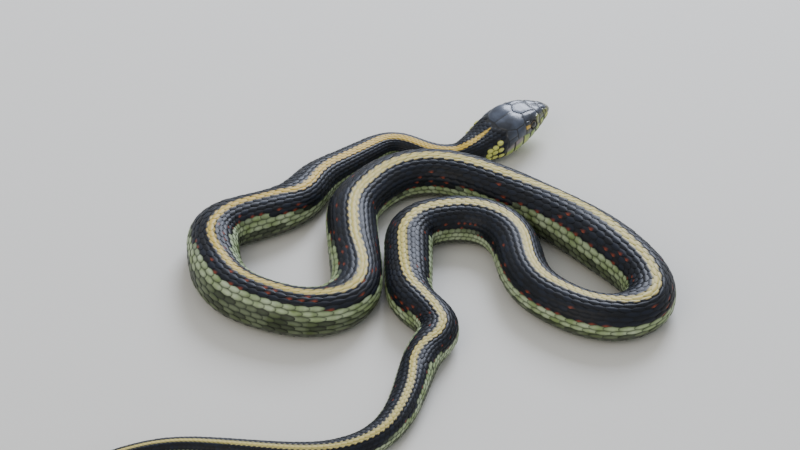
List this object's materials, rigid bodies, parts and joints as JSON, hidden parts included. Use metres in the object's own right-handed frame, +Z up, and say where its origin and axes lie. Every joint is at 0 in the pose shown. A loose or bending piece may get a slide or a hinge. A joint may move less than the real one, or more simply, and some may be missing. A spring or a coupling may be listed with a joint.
{
  "type": "garter snake model",
  "caption": "Life-size still model of a garter snake resting on its belly in loose coils, head raised slightly, tail trailing out to a thin tip.",
  "frame": {"origin": "on the floor, under the middle of the model's outline", "axes": "+Z up; +X along the longest side, to the right in the picture's view; +Y away from the viewer"},
  "size_m": [0.2404, 0.1988, 0.0173],
  "materials": {
    "skin": "dry keeled scales, near black, with yellow stripes and greenish sides",
    "head_plates": "smooth glossy plates, blue black",
    "jaw": "smooth satin lip and chin scales, yellow green",
    "eye": "wet, highly polished, dark with a round pupil and a gold rim"
  },
  "bodies": {
    "root": {"head": "head_plates", "lower_jaw": "jaw", "eye_left": "eye", "eye_right": "eye", "neck": "skin", "trunk_1": "skin", "trunk_2": "skin", "trunk_3": "skin", "trunk_4": "skin", "trunk_5": "skin", "trunk_6": "skin", "trunk_7": "skin", "trunk_8": "skin", "trunk_9": "skin", "tail_1": "skin", "tail_2": "skin", "tail_3": "skin"}
  },
  "joints": []
}
